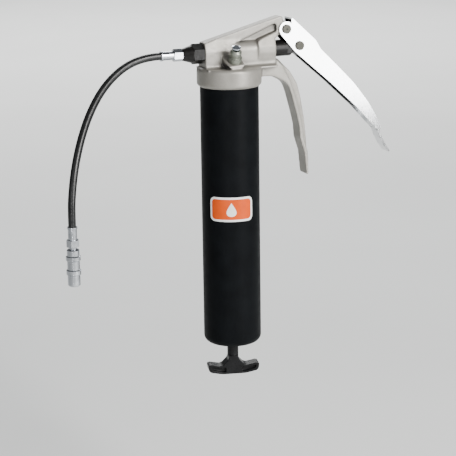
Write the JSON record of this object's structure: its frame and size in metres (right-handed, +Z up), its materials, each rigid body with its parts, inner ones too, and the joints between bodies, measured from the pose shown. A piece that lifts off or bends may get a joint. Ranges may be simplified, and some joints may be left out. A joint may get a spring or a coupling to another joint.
{
  "type": "grease gun",
  "caption": "One-hand pistol-grip grease gun with a black barrel, cast head, squeeze lever, air bleeder, whip hose with coupler, and pull rod with T-handle.",
  "frame": {"origin": "on the barrel's axis, half way up the straight part of its wall", "axes": "+Z up the barrel to the pump head, +X from the barrel to the squeeze lever, the bleeder on the -Y side"},
  "size_m": [0.3545, 0.0882, 0.3559],
  "materials": {
    "cast_aluminium": "satin, as cast and blasted",
    "black_tube": "satin black powder coat",
    "label_film": "printed gloss film",
    "handle_plastic": "semi-gloss moulded",
    "black_oxide": "oiled black oxide",
    "zinc_plate": "bright zinc plate",
    "hose_rubber": "smooth gloss cover",
    "chrome_lever": "bright chrome plate",
    "chrome_pin": "polished",
    "pin_steel": "dull, turned",
    "bright_steel": "ground",
    "spring_steel": "drawn wire",
    "bleeder_zinc": "dull grey-green zinc",
    "seal_rubber": "matt",
    "bush_plastic": "moulded"
  },
  "bodies": {
    "root": {"barrel_tube": "black_tube", "barrel_gasket": "seal_rubber", "barrel_label": "label_film", "rod_bush": "bush_plastic", "pump_head": "cast_aluminium", "pivot_pin": "pin_steel", "pivot_clip": "spring_steel", "plunger_seal": "seal_rubber", "seal_retainer": "bright_steel", "plunger_spring": "spring_steel", "outlet_nut": "black_oxide", "valve_seat": "bright_steel", "check_spring": "spring_steel", "hose_nipple": "zinc_plate", "head_ferrule": "zinc_plate", "hose": "hose_rubber", "coupler_ferrule": "zinc_plate", "coupler_stem": "zinc_plate", "coupler_body": "zinc_plate", "coupler_spring": "spring_steel", "bleeder_body": "bleeder_zinc", "bleeder_spring": "spring_steel", "follower_spring": "spring_steel"},
    "lever": {"lever": "chrome_lever", "drive_pin": "pin_steel", "drive_clip": "spring_steel"},
    "plunger": {"plunger": "bright_steel", "crosshead": "black_oxide"},
    "follower": {"follower_cup": "seal_rubber", "follower_plate": "bright_steel"},
    "pull_rod": {"follower_rod": "bright_steel", "follower_nut": "bright_steel", "t_handle": "handle_plastic"},
    "bleeder_button": {"bleeder_pin": "chrome_pin"},
    "outlet_ball": {"check_ball": "bright_steel"},
    "jaws": {"coupler_jaws": "bright_steel", "coupler_seal": "seal_rubber"}
  },
  "joints": [
    {"name": "lever_squeeze", "type": "hinge", "parent": "root", "child": "lever", "pos_m": [0.057, 0, 0.177], "axis": [0, 1, 0], "range_deg": [0, 25], "stiffness_Nm_per_rad": 1, "springref_deg": -20.05},
    {"name": "plunger_stroke", "type": "slide", "parent": "root", "child": "plunger", "axis": [-1, 0, 0], "range_m": [0, 0.00861], "deforming": ["plunger_spring"]},
    {"name": "follower_travel", "type": "slide", "parent": "root", "child": "follower", "axis": [0, 0, -1], "range_m": [0, 0.2], "stiffness_N_per_m": 400, "springref_m": -0.06, "deforming": ["follower_spring"]},
    {"name": "handle_turn", "type": "hinge", "parent": "follower", "child": "pull_rod", "pos_m": [0, 0, -0.16], "axis": [0, 0, 1], "continuous": true},
    {"name": "bleeder_push", "type": "slide", "parent": "root", "child": "bleeder_button", "axis": [0.0761, 0.4317, -0.8988], "range_m": [0, 0.0018], "stiffness_N_per_m": 600, "springref_m": -0.002, "deforming": ["bleeder_spring"]},
    {"name": "check_lift", "type": "slide", "parent": "root", "child": "outlet_ball", "axis": [-1, 0, 0], "range_m": [0, 0.0012], "stiffness_N_per_m": 100, "springref_m": -0.002, "deforming": ["check_spring"]},
    {"name": "jaw_slide", "type": "slide", "parent": "root", "child": "jaws", "axis": [0, 0, 1], "range_m": [0, 0.002], "stiffness_N_per_m": 600, "springref_m": -0.002, "deforming": ["coupler_spring"]}
  ],
  "couplings": [
    {"joint": "plunger_stroke", "follows": "lever_squeeze", "m_per_rad": 0.019284}
  ]
}
